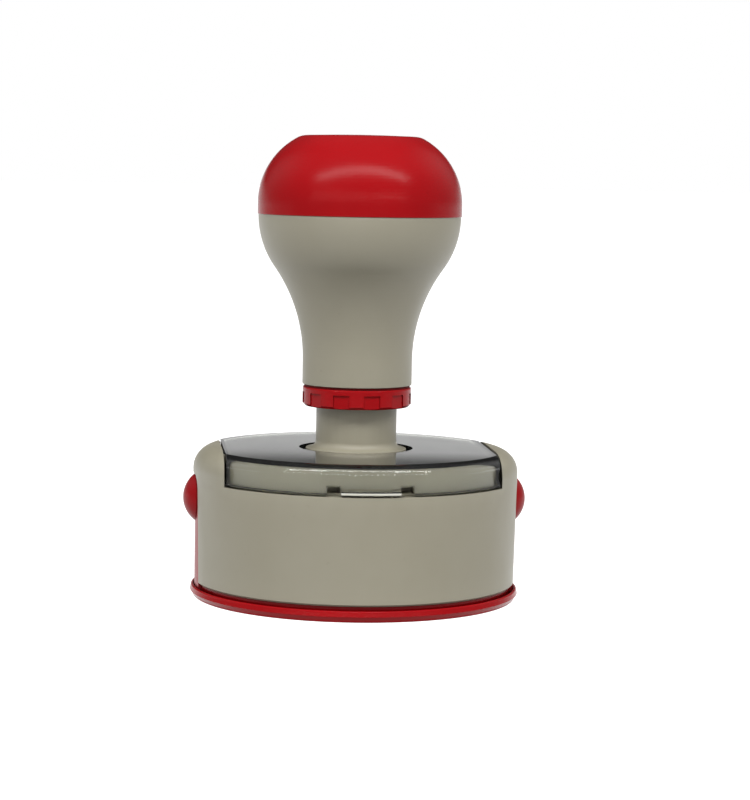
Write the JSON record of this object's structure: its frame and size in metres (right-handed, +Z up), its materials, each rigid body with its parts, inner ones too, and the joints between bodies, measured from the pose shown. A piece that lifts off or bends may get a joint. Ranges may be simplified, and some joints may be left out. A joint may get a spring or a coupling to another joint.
{
  "type": "pre-inked stamp",
  "caption": "Round pre-inked hand stamp: palm knob on a sprung telescoping handle, stroke ring, clear index window on a round body, and a latched dust cap.",
  "frame": {"origin": "middle of the dust cap's flat underside", "axes": "+Z up along the handle, -Y towards the front of the index window, +X to the right latch"},
  "size_m": [0.0624, 0.0596, 0.0834],
  "materials": {
    "red_plastic": "satin moulded",
    "grey_plastic": "satin moulded",
    "clear_plastic": "polished clear",
    "steel": "zinc plated",
    "dark_plastic": "matt",
    "card": "matt black",
    "ink_foam": "inked foam",
    "die_rubber": "inked microporous rubber"
  },
  "bodies": {
    "body_shell": {"outer_shell": "grey_plastic", "neck_frame": "grey_plastic", "frame_screws": "steel", "index_card": "card", "return_spring": "steel", "spring_seat": "steel"},
    "plunger": {"handle_grip": "grey_plastic", "knob_cap": "red_plastic", "handle_screw": "steel", "handle_washer": "steel", "plunger_rod": "grey_plastic", "die_carriage": "grey_plastic", "carriage_screw": "steel", "ink_pad": "ink_foam", "stamp_die": "die_rubber", "die_retainer": "grey_plastic"},
    "ring_slider": {"ring_washer": "dark_plastic"},
    "stroke_ring": {"adjusting_ring": "red_plastic"},
    "window": {"window_cover": "clear_plastic"},
    "cap": {"dust_cap": "red_plastic"},
    "left_latch": {"latch_left": "red_plastic"},
    "right_latch": {"latch_right": "red_plastic"}
  },
  "joints": [
    {"name": "handle_press", "type": "slide", "parent": "body_shell", "child": "plunger", "axis": [0, 0, -1], "range_m": [0, 0.0045], "stiffness_N_per_m": 600, "springref_m": -0.006, "deforming": ["return_spring"]},
    {"name": "ring_lead", "type": "slide", "parent": "plunger", "child": "ring_slider", "axis": [0, 0, -1], "range_m": [0, 0.0015]},
    {"name": "ring_turn", "type": "hinge", "parent": "ring_slider", "child": "stroke_ring", "pos_m": [0, 0, 0.0364], "axis": [0, 0, 1], "range_deg": [0, 360]},
    {"name": "window_lift", "type": "slide", "parent": "body_shell", "child": "window", "axis": [0, 0, 1], "range_m": [0, 0.0085]},
    {"name": "cap_pull", "type": "slide", "parent": "body_shell", "child": "cap", "axis": [0, 0, -1], "range_m": [0, 0.022]},
    {"name": "left_latch_press", "type": "hinge", "parent": "cap", "child": "left_latch", "pos_m": [-0.028, 0, 0.0015], "axis": [0, 1, 0], "range_deg": [0, 4.5], "stiffness_Nm_per_rad": 0.3, "springref_deg": -2.86},
    {"name": "right_latch_press", "type": "hinge", "parent": "cap", "child": "right_latch", "pos_m": [0.028, 0, 0.0015], "axis": [0, -1, 0], "range_deg": [0, 4.5], "stiffness_Nm_per_rad": 0.3, "springref_deg": -2.86}
  ],
  "couplings": [
    {"joint": "ring_lead", "follows": "ring_turn", "m_per_rad": 0.0002387}
  ]
}
